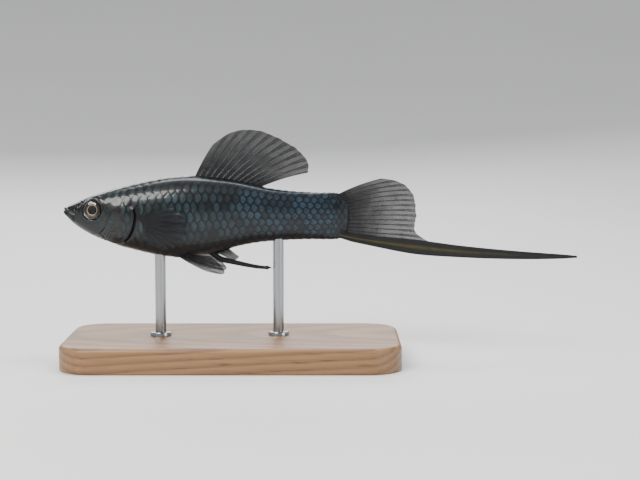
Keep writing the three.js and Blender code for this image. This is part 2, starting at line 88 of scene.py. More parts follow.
def ridges(x, *rows):
    # a sum of bells, height * e^-((x - middle) / width)^2, each with its middle, width and height
    return sum(height * np.exp(-(((x - middle) / width) ** 2)) for middle, width, height in rows)


def unit(vectors):
    return vectors / np.maximum(np.linalg.norm(vectors, axis=-1, keepdims=True), 1e-9)


def smoothCurve(stations, x):
    # a cubic between stations, with the slope at each taken from the station before to the one after
    at, size = table = np.array(stations, float).T
    wide = np.pad(table, ((0, 0), (1, 1)), "edge")
    run, rise = wide[:, 2:] - wide[:, :-2]
    slope = rise / run
    x = np.clip(x, at[0], at[-1])
    i = np.clip(np.searchsorted(at, x, side="right") - 1, 0, len(at) - 2)
    span = at[i + 1] - at[i]
    t = (x - at[i]) / span
    pull = (t**3 - 2 * t**2 + t) * slope[i] + (t**3 - t**2) * slope[i + 1]
    return mix(size[i], size[i + 1], softStep(t, 0, 1)) + span * pull


def alongBody(profile, s):
    # the same curve in the square root of s, which keeps the snout round
    roots = [(np.sqrt(at), size) for at, size in profiles[profile]]
    return smoothCurve(roots, np.sqrt(np.maximum(s, 0)))


tailRoot = dict(reach=3.2, thin=(0.155, 0.045), narrow=0.06, lag=1.4, lagHeight=6.6, lagFrom=71)


def section(s):
    # the body's superellipse at s. Past the body's end its half width and height shrink with the square
    past = np.clip(s - fish["bodyLength"], 0, tailRoot["reach"])
    c = {name: alongBody(name, s) for name in profiles}
    c["top"] -= tailRoot["narrow"] * past**2
    c["bottom"] += tailRoot["narrow"] * past**2
    c["half"] -= tailRoot["thin"][0] * past + tailRoot["thin"][1] * past**2
    return c


def reachAndPower(c, above):
    # how far the back or the belly is from the widest point, and how square that half is
    reach = np.where(above, c["top"] - c["widest"], c["widest"] - c["bottom"])
    return reach, np.where(above, c["upper"], c["lower"])


def onSection(c, turn):
    # y = half * |sin|^(2/n), h = widest + reach * |cos|^(2/n), each with its sign; turn is 0 at the back
    side, up = np.sin(turn), np.cos(turn)
    reach, n = reachAndPower(c, up > 0)
    y, h = (np.sign(part) * np.abs(part) ** (2 / n) for part in (side, up))
    return c["half"] * y, c["widest"] + reach * h


def flankAt(s, h):
    # how far the flank stands out at a height: half * (1 - share^n)^(1/n)
    c = section(s)
    reach, n = reachAndPower(c, h > c["widest"])
    share = np.minimum(np.abs(h - c["widest"]) / reach, 1)
    return c["half"] * (1 - share**n) ** (1 / n)


def bellyAt(s, y):
    # how low the belly is at a distance from the middle, by the same formula
    c = section(s)
    return mix(c["widest"], c["bottom"], (1 - (np.abs(y) / c["half"]) ** c["lower"]) ** (1 / c["lower"]))


# A table from (square root of s, share of the way round) to the turn, so that shares are true lengths
skinEnd = fish["bodyLength"] + tailRoot["reach"]
turnTable = dict(rows=150, columns=121, fineTurns=721, firstRoot=0.03)
tableRoots = np.linspace(turnTable["firstRoot"], np.sqrt(skinEnd), turnTable["rows"])


def fillTurnTable():
    turns = np.linspace(0, np.pi, turnTable["fineTurns"])
    y, h = onSection({name: size[:, None] for name, size in section(tableRoots**2).items()}, turns)
    length = np.pad(np.cumsum(np.hypot(np.diff(y), np.diff(h)), axis=1), ((0, 0), (1, 0)))
    shares = np.linspace(0, 1, turnTable["columns"])
    return np.array([np.interp(shares, row / row[-1], turns) for row in length])


tableTurns = fillTurnTable()


def turnAt(s, g):
    # g goes once round, from the back down the right side to the belly and up the left
    rows, columns = tableTurns.shape
    row = np.interp(np.sqrt(np.maximum(s, 0)), tableRoots, np.arange(rows))
    once = np.mod(g, 1)
    column = np.minimum(once, 1 - once) * 2 * (columns - 1)
    i, j = np.minimum(row.astype(int), rows - 2), np.minimum(column.astype(int), columns - 2)
    upper, lower = (mix(tableTurns[k, j], tableTurns[k, j + 1], column - j) for k in (i, i + 1))
    return np.where(once > 0.5, -1, 1) * mix(upper, lower, row - i)


def bareBody(s, g):
    # a point of the body's plain form. Near its end the back and belly lag behind the middle
    s, g = np.broadcast_arrays(np.asarray(s, float), np.asarray(g, float))
    y, h = onSection(section(s), turnAt(s, g))
    lag = tailRoot["lag"] * (h / tailRoot["lagHeight"]) ** 2 * softStep(s, tailRoot["lagFrom"], skinEnd)
    return np.stack([s - lag, y, h], -1)


def bodyNormal(s, g):
    # the outward direction: the step back crossed with the step round
    stepBack, stepRound = 0.03, 0.0008
    back = bareBody(s + stepBack, g) - bareBody(np.maximum(s - stepBack, 0), g)
    around = bareBody(s, g + stepRound) - bareBody(s, g - stepRound)
    return unit(np.cross(back, around))


# Small forms of the head and body, each a height over the plain form. Edges, rims, grooves, folds and
# pits are rows of middle, width and height; spans are where a form begins and where it ends
mouth = dict(
    slope=0.7, corner=3.3, rolls=((0.42, 0.42, 0.34), (-0.47, 0.47, 0.42)), roundness=0.8,
    slit=(0, 0.075, -0.55), fold=(1.05, 0.2, -0.12), fade=(-0.9, 0.5))
eye = dict(s=8.1, h=2.15, turnForward=9, turnUp=9, sink=0.25)
socket = dict(floor=-1.5, wall=(2.12, 2.72), rims=((2.98, 0.3, 0.2), (3.9, 0.45, 0.07)))
nostrils = dict(stretch=1.4, pit=((0, 0.24, -0.42), (0.46, 0.15, 0.13)), places=((3.5, 2.5), (5.0, 4.1)))
pores = dict(
    stretch=1, pit=((0, 0.13, -0.1),), places=((12.35, 1.9), (12.3, 0.1), (11.9, -1.7), (11.0, -3.3),
    (9.7, -4.3), (8.0, -4.4), (6.2, -3.3), (4.6, -1.9), (6.4, 4.7), (8.2, 5.4), (10.4, 5.9), (12.2, 5.9),
    (5.6, 0.4), (6.3, -0.6), (7.6, -1.4)))
gillCover = dict(
    s=15.1, h=-1.2, halfLength=4.3, halfHeight=6.1, lean=17, squareness=2.2,
    span=((-2.5, -1.8), (0.75, 1.15)), midline=(0.5, 1.5), proud=0.3, frontFade=(-2.6, 0.4),
    rearStep=(-0.12, 0.1), swell=(1.3, 0.7, 0.12), edge=((-0.35, 0.3, 0.07), (0.2, 0.2, -0.62)),
    seam=(-2.7, 0.13, -0.09), seamSlope=0.25, seamFront=(-2.5, -1.5), seamRear=(-0.9, -0.3))
cheek = dict(
    s=7.6, h=0.1, halfLength=4.75, halfHeight=5.3, lean=0, squareness=2, span=((-2.5, -1.7), (0.25, 0.75)),
    midline=(1.0, 2.0), edge=((0, 0.17, -0.15), (-0.45, 0.3, 0.09)))
throat = dict(
    outside=((0.35, 0.8), (2.4, 3.4)), below=(3.2, 4.6), midline=(0.3, 0.9), along=((4.5, 6.5), (11, 14)),
    height=0.07, pitch=0.75)
finBases = dict(
    back=(0, 0.75, 0.32), backSpan=((33.5, 36), (52.5, 55)), vent=(0, 1.1, 0.45),
    ventSpan=((37, 40), (43.5, 46.5)), pelvis=(31, 1.6, 0.4), pelvisSide=(1.7, 0.9, 1),
    breast=(21.4, 1.6, 0.4), breastHeight=(-1.5, 2.7, 1), furrow=(0, 0.7, -0.06),
    furrowSpan=((21, 30), (66, 74)))
coat = dict(depth=0.3, headDepth=0.12, headSpan=(8, 12), bodySpan=(14, 22))


def lipForm(s, h):
    # two rounded rolls along the cleft, which is a narrow slit, with a fold beyond each
    d = (h - profiles["top"][0][1] + mouth["slope"] * s) / np.hypot(1, mouth["slope"])
    form = ridges(d, mouth["slit"]) + ridges(np.abs(d), mouth["fold"])
    for middle, width, height in mouth["rolls"]:
        form = form + height * np.clip(1 - ((d - middle) / width) ** 2, 0, None) ** mouth["roundness"]
    return form * (1 - softStep(s - mouth["corner"], *mouth["fade"]))


def eyeFrame(side):
    # the eye's centre, two directions across it and the direction out
    forward, up = np.radians([eye["turnForward"], eye["turnUp"]])
    out = np.array([-np.sin(forward) * np.cos(up), side * np.cos(forward) * np.cos(up), np.sin(up)])
    centre = [eye["s"], side * flankAt(eye["s"], eye["h"]), eye["h"]] - out * eye["sink"]
    across = unit(np.cross([0, 0, 1.0], out))
    return centre, across, np.cross(out, across), out


def fromEye(points, side):
    # distance from the axis of one side's eye
    centre, _, _, out = eyeFrame(side)
    arm = points - centre
    return np.linalg.norm(arm - (arm @ out)[..., None] * out, axis=-1)


def socketForm(points):
    r = np.where(points[..., 1] > 0, fromEye(points, 1), fromEye(points, -1))
    return socket["floor"] * (1 - softStep(r, *socket["wall"])) + ridges(r, *socket["rims"])


def pitForm(points):
    # on both flanks, rings round each place, in which heights are shortened by the stretch
    both = np.where((0, 1, 0), np.abs(points), points)
    form = 0
    for pits in (nostrils, pores):
        for s, h in pits["places"]:
            arm = (both - (s, flankAt(s, h), h)) / (1, 1, pits["stretch"])
            form = form + ridges(np.linalg.norm(arm, axis=-1), *pits["pit"])
    return form


def fromOval(oval, s, h):
    # distance outside an oval's edge, place round it (0 at the rear) and the two leaning coordinates
    lean = np.radians(oval["lean"])
    ds, dh = s - oval["s"], h - oval["h"]
    a = ds * np.cos(lean) - dh * np.sin(lean)
    b = ds * np.sin(lean) + dh * np.cos(lean)
    back, up, n = a / oval["halfLength"], b / oval["halfHeight"], oval["squareness"]
    level = np.maximum((np.abs(back) ** n + np.abs(up) ** n) ** (1 / n), 1e-3)
    return (level - 1) * np.hypot(a, b) / level, np.arctan2(up, back), a, b


def edgeShare(oval, place, y):
    # 1 along the part of an oval's edge that stands free, 0 round the rest of it and at the midline
    return window(place, *oval["span"]) * softStep(np.abs(y), *oval["midline"])


def coverForm(s, y, h):
    # the cover blends into the cheek in front and ends in a step behind, where the body swells a little
    outside, place, _, _ = fromOval(gillCover, s, h)
    share = edgeShare(gillCover, place, y)
    gone = mix(softStep(outside, *gillCover["frontFade"]), softStep(outside, *gillCover["rearStep"]), share)
    return gillCover["proud"] * (1 - gone) + ridges(outside, gillCover["swell"]) * share


def gillForm(s, y, h):
    # a rounded lip along the cover's edge, a groove behind it and a seam across the cover
    outside, place, a, b = fromOval(gillCover, s, h)
    seam = ridges(b - gillCover["seamSlope"] * a, gillCover["seam"]) * softStep(a, *gillCover["seamFront"])
    seam = seam * (1 - softStep(outside, *gillCover["seamRear"]))
    return ridges(outside, *gillCover["edge"]) * edgeShare(gillCover, place, y) + seam


def cheekForm(s, y, h):
    # the groove along the lower rear of an oval round the eye, and rays under the throat
    outside, place, _, b = fromOval(cheek, s, h)
    share = window(outside, *throat["outside"]) * window(s, *throat["along"])
    share = share * softStep(-b, *throat["below"]) * softStep(np.abs(y), *throat["midline"])
    rays = throat["height"] * share * np.cos(2 * np.pi * outside / throat["pitch"])
    return ridges(outside, *cheek["edge"]) * edgeShare(cheek, place, y) + rays


def finBaseForm(s, y, h):
    # low ridges and mounds where the fins grow, and the shallow furrow along the middle of the flank
    back = ridges(y, finBases["back"]) * window(s, *finBases["backSpan"]) * (h > 0)
    vent = ridges(y, finBases["vent"]) * window(s, *finBases["ventSpan"]) * (h < 0)
    pelvis = ridges(s, finBases["pelvis"]) * ridges(np.abs(y), finBases["pelvisSide"]) * (h < 0)
    breast = ridges(s, finBases["breast"]) * ridges(h, finBases["breastHeight"])
    furrow = ridges(h - alongBody("widest", s), finBases["furrow"]) * window(s, *finBases["furrowSpan"])
    return back + vent + pelvis + breast + furrow


def broadRelief(points):
    # the forms that the scales follow too
    s, y, h = np.moveaxis(points, -1, 0)
    return coverForm(s, y, h) + finBaseForm(s, y, h)


def fullRelief(points):
    s, y, h = np.moveaxis(points, -1, 0)
    form = lipForm(s, h) + gillForm(s, y, h) + cheekForm(s, y, h)
    return broadRelief(points) + form + pitForm(points) + socketForm(points)


def onBody(s, g, relief):
    # a point of the plain form moved along its normal, out by the relief and in by the coat's depth
    base, normal = bareBody(s, g), bodyNormal(s, g)
    depth = coat["headDepth"] * softStep(base[..., 0], *coat["headSpan"])
    depth = depth + (coat["depth"] - coat["headDepth"]) * softStep(base[..., 0], *coat["bodySpan"])
    return base + normal * (relief(base) - depth)[..., None], normal


# Meshes from arrays
def addObject(name, data, place=(0, 0, 0)):
    added = bpy.data.objects.new(name, data)
    added.location = place
    bpy.context.scene.collection.objects.link(added)
    return added


def makeObject(name, points, faces, finish, maps=(), marks=(), sharp=None, outward=True):
    # faces are arrays of point numbers, one row a face; maps hold a pair for each face corner, and marks
    # a number for each point. Faces are turned to point out, going by the volume they shut in
    fans = [points[rows] for rows in faces]
    volume = sum((fan[:, :1] * np.cross(fan[:, 1:-1], fan[:, 2:])).sum() for fan in fans)
    order = slice(None, None, 1 if (volume > 0) == outward else -1)
    mesh = bpy.data.meshes.new(name)
    rings = [row for rows in faces for row in rows[:, order].tolist()]
    mesh.from_pydata(points, [], rings, shade_flat=False)
    for mapName, pairs in dict(maps).items():
        flat = np.concatenate([rows[:, order].ravel() for rows in pairs]).astype(np.float32)
        mesh.uv_layers.new(name=mapName).data.foreach_set("uv", flat)
    for markName, values in dict(marks).items():
        layer = mesh.attributes.new(markName, "FLOAT", "POINT")
        layer.data.foreach_set("value", values.ravel().astype(np.float32))
    if sharp is not None:
        mesh.set_sharp_from_angle(angle=np.radians(sharp))
    mesh.materials.append(finish)
    return addObject(name, mesh)


def makePiece(name, points, faces, finish, slot, replaces=(), **more):
    piece = makeObject(name, points, faces, finish, **more)
    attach(piece, "root")
    if replaces:
        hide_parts(*replaces)


def tubeFaces(rows, columns):
    # quads of a tube whose columns close on themselves and fans that close its ends, round two middle
    # points that follow the tube's own; and the row and column of each quad's corners
    places = np.indices((rows - 1, columns)).reshape(2, -1).T[:, None] + [(0, 0), (1, 0), (1, 1), (0, 1)]
    quads = places[..., 0] * columns + places[..., 1] % columns
    j = np.arange(columns)
    after, last, middle = (j + 1) % columns, (rows - 1) * columns, np.full(columns, rows * columns)
    fans = [np.stack([middle, j, after], -1), np.stack([middle + 1, last + after, last + j], -1)]
    return [quads, *fans], places


def makeTube(name, grid, *settings, maps=(), middles=None, **more):
    # a closed body from rings of points. A map gives each ring its first value, with the way round as the
    # second, and each end one value, or a pair for each corner
    rows, columns = grid.shape[:2]
    faces, places = tubeFaces(rows, columns)
    pairs = {}
    for mapName, (rings, ends) in dict(maps).items():
        side = np.stack([rings[places[..., 0]], places[..., 1] / columns], -1)
        pairs[mapName] = [side, *(np.full((columns, 3, 2), end) for end in ends)]
    middles = grid[[0, -1]].mean(1) if middles is None else middles
    makePiece(name, np.concatenate([grid.reshape(-1, 3), middles]), faces, *settings, maps=pairs, **more)


def lathe(profile, around, centre, across, upward, out):
    # (radius, height) pairs carried round an axis
    r, height = np.array(profile, float).T[..., None, None]
    turn = np.linspace(0, 2 * np.pi, around, endpoint=False)[:, None]
    return centre + r * (np.cos(turn) * across + np.sin(turn) * upward) + height * out


def bandFaces(*corners):
    return np.stack(corners, -1).reshape(-1, 4)


def sheetFaces(rows, columns):
    # both sides of a thin sheet and its rim; the far side's points follow the near side's
    near = np.arange(rows * columns).reshape(rows, columns)
    front = bandFaces(near[:-1, :-1], near[1:, :-1], near[1:, 1:], near[:-1, 1:])
    rim = np.concatenate([near[0, :-1], near[:-1, -1], near[-1, :0:-1], near[:0:-1, 0]])
    after = np.roll(rim, -1)
    return [front, front[:, ::-1] + near.size, bandFaces(rim, after, after + near.size, rim + near.size)]


def plateFaces(rows, columns):
    # a plate's top and rim, and an under side that spans from its root to its rear edge in one step. The
    # under side's two rows of points follow the top's own
    top = np.arange(rows * columns).reshape(rows, columns)
    root, rear = rows * columns + np.arange(2 * columns).reshape(2, columns)
    bands = [(top[:-1, :-1], top[1:, :-1], top[1:, 1:], top[:-1, 1:]),
             (root[:-1], root[1:], rear[1:], rear[:-1]),
             (top[0, :-1], top[0, 1:], root[1:], root[:-1]),
             (top[-1, 1:], top[-1, :-1], rear[:-1], rear[1:])]
    ends = [[*top[::-1, 0], root[0], rear[0]], [*top[:, -1], rear[-1], root[-1]]]
    return [np.concatenate([bandFaces(*band) for band in bands]), np.array(ends)]


# Finishes
class Signal:
    # what a shader node gives out. Its sums, differences and products are nodes too
    def __init__(self, socket):
        self.socket = socket

    def __add__(self, other):
        return calculate("ADD", self, other)

    def __sub__(self, other):
        return calculate("SUBTRACT", self, other)

    def __mul__(self, other):
        return calculate("MULTIPLY", self, other)


def feed(socket, value):
    # a link from a signal, or else the plain number or colour
    if isinstance(value, Signal):
        socket.id_data.links.new(value.socket, socket)
    else:
        socket.default_value = (*value, 1) if socket.type == "RGBA" else value


def addNode(tree, kind, inputs=(), output=0, **settings):
    node = tree.nodes.new("ShaderNode" + kind)
    for name, value in settings.items():
        setattr(node, name, value)
    for name, value in dict(inputs).items():
        feed(node.inputs[name], value)
    return Signal(node.outputs[output])


def calculate(operation, first, second=0.5, clamp=False):
    return addNode(first.socket.id_data, "Math", {0: first, 1: second}, operation=operation, use_clamp=clamp)


def rescale(value, low, high, newLow=0.0, newHigh=1.0):
    # from low and high to the new pair, by the soft step
    ends = {"Value": value, "From Min": low, "From Max": high, "To Min": newLow, "To Max": newHigh}
    return addNode(value.socket.id_data, "MapRange", ends, interpolation_type="SMOOTHSTEP")


def blend(share, first, second):
    return addNode(share.socket.id_data, "Mix", {0: share, 6: first, 7: second}, 2, data_type="RGBA")


def distance(first, second):
    # the square root of the sum of both squares
    return calculate("SQRT", first * first + second * second)


def split(vector):
    node = addNode(vector.socket.id_data, "SeparateXYZ", {0: vector}).socket.node
    return [Signal(socket) for socket in node.outputs]


def onObject(tree, stretch=(1, 1, 1)):
    return addNode(tree, "Mapping", {"Vector": addNode(tree, "TexCoord", output="Object"), "Scale": stretch})


def noise(tree, scale, detail=3.0, roughness=0.55, stretch=(1, 1, 1)):
    settings = {"Vector": onObject(tree, stretch), "Scale": scale, "Detail": detail, "Roughness": roughness}
    return addNode(tree, "TexNoise", settings)


def ownMap(tree, name):
    return split(addNode(tree, "UVMap", uv_map=name))


def mark(tree, name):
    return addNode(tree, "Attribute", output="Fac", attribute_name=name)


socketNames = dict(
    colour="Base Color", metal="Metallic", roughness="Roughness", solid="Alpha", coat="Coat Weight",
    coatRoughness="Coat Roughness", shine="Specular IOR Level")


def newFinish(name):
    material = bpy.data.materials.new(name)
    material.use_nodes = True
    return material, material.node_tree


def dress(material, bump=None, **looks):
    # the main shader's inputs, by their plain names. The bump is a height, in metres, and its strength
    tree = material.node_tree
    shader = tree.nodes["Principled BSDF"]
    for name, value in looks.items():
        feed(shader.inputs[socketNames[name]], value)
    if bump:
        inputs = dict(zip(("Height", "Distance", "Strength"), bump))
        feed(shader.inputs["Normal"], addNode(tree, "Bump", inputs))
    return material


bodyLook = dict(
    back=(0.0030, 0.0034, 0.0044), flank=(0.0050, 0.0056, 0.0072), belly=(0.016, 0.0165, 0.019),
    steel=(0.040, 0.078, 0.115), green=(0.050, 0.082, 0.070), bronze=(0.105, 0.080, 0.048),
    flankFrom=(0.030, 0.037), backFrom=(0.040, 0.049),  # heights, in metres
    steelFrom=(-0.05, 0.03),  # along the body
    waver=0.004, sheenWaver=0.05,  # how far the blotches move these borders
    cheek=((snoutX + 12.5) / 1000, (fish["axisHeight"] - 1.2) / 1000), cheekReach=(0.0012, 0.0060),
)


def bodyMarkings(tree):
    # black above, a shade greyer on the belly, with soft blotches: the same on skin and scales. Then the
    # sheen's blue or green, how metallic cheek and gill cover are, in fine grains, and the colour there
    x, _, z = split(onObject(tree))
    blotch = noise(tree, 160)
    height = z + blotch * bodyLook["waver"]
    flank = blend(rescale(height, *bodyLook["flankFrom"]), bodyLook["belly"], bodyLook["flank"])
    colour = blend(rescale(height, *bodyLook["backFrom"]), flank, bodyLook["back"])
    turn = rescale(x + blotch * bodyLook["sheenWaver"], *bodyLook["steelFrom"])
    sheen = blend(turn, bodyLook["green"], bodyLook["steel"])
    cheekX, cheekZ = bodyLook["cheek"]
    there = rescale(distance(x - cheekX, (z - cheekZ) * 0.8), *bodyLook["cheekReach"], 1, 0)
    metal = there * rescale(noise(tree, 3200, 4, 0.7), 0.42, 0.7) * 0.6
    return colour, sheen, metal, blend(rescale(blotch, 0.42, 0.58, 0.35, 1), bodyLook["bronze"], sheen)


def scaleFinish():
    # each scale is black with a metallic fleck towards its rear edge and fine growth rings; its root is as
    # the skin that it grows from
    material, tree = newFinish("scale_finish")
    colour, sheen, metal, glint = bodyMarkings(tree)
    a, b, _ = ownMap(tree, "plateMap")
    across = calculate("ABSOLUTE", b - 0.5)
    fleck = rescale(a, 0.42, 0.74) * rescale(a + across * 0.25, 0.86, 0.99, 1, 0)
    fleck = fleck * rescale(across, 0.12, 0.42, 1, 0) * mark(tree, "plateShade")
    # the flecks are brightest on the upper flank, fade to belly and back, and come and go in patches
    z = split(onObject(tree))[2]
    zone = rescale(z, 0.0305, 0.041, 0.25, 1) * rescale(z, 0.0445, 0.0505, 1, 0.35)
    zone = zone * rescale(noise(tree, 110, 2), 0.32, 0.62, 0.45, 1)
    fleck = fleck * zone * rescale(noise(tree, 2600, 2), 0.35, 0.7, 0.45, 1)
    metal = metal * rescale(a, 0.4, 0.85, 1, 0.3)
    rings = calculate("SINE", (a + across * across * 0.9) * 190) * rescale(a, 0.35, 0.6)
    return dress(material, (rings, 0.000003, 0.3), colour=blend(fleck, blend(metal, colour, glint), sheen),
                 metal=calculate("MAXIMUM", fleck * 0.85, metal), coat=0.32, coatRoughness=0.1, shine=0.18,
                 roughness=rescale(noise(tree, 700), 0.3, 0.7, 0.28, 0.42))


def skinFinish():
    # smooth black skin with a faint pebbled grain, and a bronze and steel sheen on cheek and gill cover
    material, tree = newFinish("skin_finish")
    colour, _, metal, glint = bodyMarkings(tree)
    grain = noise(tree, 2200, 2) + noise(tree, 7000, 1) * 0.4
    return dress(material, (grain, 0.00005, 0.5), colour=blend(metal, colour, glint), metal=metal,
                 roughness=rescale(noise(tree, 900), 0.3, 0.7, 0.3, 0.46), coat=0.38, coatRoughness=0.08,
                 shine=0.18)


finLook = dict(
    tint=(0.0062, 0.0064, 0.0078), joint=0.42, stripe=(0.040, 0.034, 0.012), stripeAlong=(0.35, 0.95),
    stripeAcross=(0.14, 0.27))


def finFinish(name, clearness, striped=False):
    # smoky membrane that clears towards its edge, with darker jointed rays. clearness is how solid the
    # membrane is at the root and at the edge
    material, tree = newFinish(name)
    along, across, _ = ownMap(tree, "finMap")
    ray, tint = mark(tree, "ray"), np.array(finLook["tint"])
    smoke = noise(tree, 330)
    speck = rescale(noise(tree, 2300, 2), 0.35, 0.65)
    membrane = blend(speck, tint * 1.5, tint)
    if striped:
        inside = rescale(calculate("ABSOLUTE", across - 0.5), *finLook["stripeAcross"], 1, 0)
        inside = inside * rescale(along, *finLook["stripeAlong"], 1, 0) * rescale(smoke, 0.3, 0.6, 0.55, 1)
        membrane = blend(inside, membrane, finLook["stripe"])
    solid = rescale(along + smoke * 0.5, 0.15, 1.2, *clearness) + speck * 0.05
    joints = calculate("SINE", mark(tree, "reach") * (2 * np.pi / finLook["joint"]))
    return dress(material, (joints * ray, 0.000012, 0.5), colour=blend(ray * 0.8, membrane, tint * 0.45),
                 solid=calculate("MAXIMUM", solid, ray * 0.98, clamp=True), roughness=0.42, coat=0.12,
                 coatRoughness=0.2, shine=0.22)


eyeLook = dict(iris=(0.005, 0.005, 0.006), fleck=(0.13, 0.10, 0.052), ring=(0.52, 0.43, 0.25))


def eyeFinish():
    # a black pupil, a thin pale gold ring round it and a dark iris with a few metallic flecks
    material, tree = newFinish("iris_finish")
    r = ownMap(tree, "eyeMap")[0]
    fleck = rescale(noise(tree, 2300, 4, 0.7), 0.38, 0.66)
    beyondPupil = rescale(r, 0.49, 0.52)
    ring = rescale(r, 0.485, 0.495) * rescale(r, 0.515, 0.56, 1, 0)
    wash = beyondPupil * rescale(r, 0.54, 0.88, 1, 0) * fleck
    iris = blend(wash, eyeLook["iris"], eyeLook["fleck"])
    return dress(material, (fleck * beyondPupil, 0.00001, 0.3), colour=blend(ring, iris, eyeLook["ring"]),
                 metal=calculate("MAXIMUM", ring, wash * 0.8), roughness=0.5, shine=0.1)


def corneaFinish():
    # clear, with only the reflection that clear tissue has
    material, tree = newFinish("cornea_finish")
    tree.nodes.remove(tree.nodes["Principled BSDF"])
    parts = {0: addNode(tree, "Fresnel", {"IOR": 1.38}), 1: addNode(tree, "BsdfTransparent"),
             2: addNode(tree, "BsdfGlossy", {"Roughness": 0.03})}
    feed(tree.nodes["Material Output"].inputs["Surface"], addNode(tree, "MixShader", parts))
    return material


oak = dict(
    trunk=(0.004, -0.040),  # the trunk's middle, across and below the board's origin, in metres
    skew=(0.05, 0.085),  # how far it strays across and up per metre of length
    ring=0.0019, waver=0.0016,
    late=(0.265, 0.142, 0.060), early=(0.150, 0.070, 0.027), fibre=(0.195, 0.099, 0.039),
    pore=(0.050, 0.023, 0.010),
)


def oakFinish():
    # year rings at equal steps of the distance from a trunk axis that lies askew below the board, so
    # that they arch along its top and curve at its ends, with fibres and pores along them. A satin oil
    material, tree = newFinish("oak_finish")
    x, y, z = split(onObject(tree))
    arms = [part - middle - x * skew for part, middle, skew in zip((y, z), oak["trunk"], oak["skew"])]
    waver = noise(tree, 1, stretch=(9, 60, 60)) * oak["waver"]
    year = calculate("FRACT", calculate("DIVIDE", distance(*arms) + waver, oak["ring"]))
    early = rescale(year, 0, 0.1) * rescale(year, 0.14, 0.75, 1, 0)
    tone = noise(tree, 1, stretch=(6, 40, 90))
    fibres = noise(tree, 1, 3, 0.6, stretch=(45, 1500, 1500))
    pores = rescale(noise(tree, 1, 2, stretch=(130, 2900, 2900)), 0.57, 0.68)
    pores = pores * rescale(early, 0, 0.7, 0.25, 1)
    colour = blend(early, oak["late"], oak["early"])
    colour = blend(rescale(fibres, 0.35, 0.7, 0, 0.6), colour, oak["fibre"])
    colour = blend(rescale(tone, 0.35, 0.7, 0, 0.45), colour, oak["fibre"])
    return dress(material, (fibres * 0.3 - pores, 0.00004, 0.6),
                 colour=blend(pores * 0.7, colour, oak["pore"]), coat=0.12, coatRoughness=0.3,
                 roughness=rescale(fibres, 0.3, 0.7, 0.4, 0.54))


def steelFinish():
    # drawn steel: fine streaks along the rod
    material, tree = newFinish("steel_finish")
    streaks = noise(tree, 1, stretch=(5200, 5200, 60))
    return dress(material, (streaks, 0.00001, 0.4), metal=1.0,
                 roughness=rescale(streaks, 0.25, 0.75, 0.16, 0.3),
                 colour=blend(streaks, (0.24, 0.25, 0.265), (0.36, 0.37, 0.385)))


# The skin: one closed surface from the lips to the root of the tail
skinGrid = dict(
    around=320, finePitch=0.11, coarsePitch=0.62, firstS=0.003, snoutPitch=0.12, wideningFrom=(20, 27),
    snoutTip=0.02)


def ringStations():
    # the rings' s: close together on the snout and head, wider behind the gill covers
    fine = np.linspace(skinGrid["firstS"], skinEnd, 20001)
    pitch = np.minimum(np.sqrt(fine) * skinGrid["snoutPitch"], skinGrid["finePitch"])
    pitch = mix(pitch, skinGrid["coarsePitch"], softStep(fine, *skinGrid["wideningFrom"]))
    passed = np.pad(np.cumsum(np.diff(fine) / pitch[1:]), (1, 0))
    return np.interp(np.linspace(0, passed[-1], int(passed[-1]) + 1), passed, fine)


stations = ringStations()
unwrappedRings = np.linspace(0.005, 0.995, len(stations))


def makeSkin(finish):
    g = np.arange(skinGrid["around"]) / skinGrid["around"]
    grid, _ = onBody(stations[:, None], g, fullRelief)
    middles = [(skinGrid["snoutTip"], 0, profiles["top"][0][1]), grid[-1].mean(0)]
    ends = [[(x, 0), (x, 0.001), (x, 0.002)] for x in (0.002, 0.998)]
    makeTube("skin", placed(grid), finish, "scaled_skin",
             ["head", "lower_jaw", "torso", "tail_stalk", "gill_cover_left", "gill_cover_right"],
             maps={"OFBake": (unwrappedRings, ends)}, middles=placed(middles))


# The scales: thin round-backed plates in offset rows, each rising from its root to its rear edge
plates = dict(
    rows=20, inRow=40, pitch=2.03, firstRoot=8.4, lastRoot=75.4, length=4.3, headLength=3.1, lastLength=2.3,
    headSpan=(13, 23), tailSpan=(68, 75.5), spread=1.04, waist=0.12, lift=0.062, headLift=0.034,
    thickness=0.045, rootThickness=0.12, seed=7, along=(0, 0.3, 0.6, 0.86, 1.0), across=9, arc=(0.40, 0.12),
    sunk=(0.2, 0.14), droop=0.02, rearDrop=0.05, patch=0.003,
    uneven=(0.03, 0.05, 0.02),  # how far places, lifts and lengths differ
    shade=(0.72, 0.26), darkest=0.12,
    fromEye=4.3, dorsalGap=(36, 53), ventGap=(39, 44.5),
    starts=(9.0, 12.5, 14.0), flankFrom=(0.1, 0.26), bellyFrom=(0.33, 0.42),  # the first s, by the way round
    bare=(-0.55, 0.62),  # the strip that is free of scales, before and behind the gill cover's edge
    bareSpan=(-2.4, 1.05), bareMidline=0.9,
    leastPart=(1.5, 2.1),  # the shortest part that a scale keeps behind that strip, and before it
)


def bearsScale(s, g, length):
    # true where a scale that is rooted at s is behind the snout and clear of the eyes and the fins
    root, rear = bareBody(s, g), bareBody(np.minimum(s + length, skinEnd), g)
    points = (root, (root + rear) / 2, rear)
    nearest = np.minimum.reduce([fromEye(point, side) for point in points for side in (1, -1)])
    fromBack = np.abs(np.mod(g + 0.5, 1) - 0.5)
    back, flank, belly = plates["starts"]
    first = mix(back, flank, softStep(fromBack, *plates["flankFrom"]))
    first = mix(first, belly, softStep(fromBack, *plates["bellyFrom"]))
    free = (nearest > plates["fromEye"]) & (s > first)
    for onLine, gap in ((fromBack < 0.01, "dorsalGap"), (fromBack > 0.49, "ventGap")):
        free &= ~(onLine & (s + length > plates[gap][0]) & (s < plates[gap][1]))
    return free


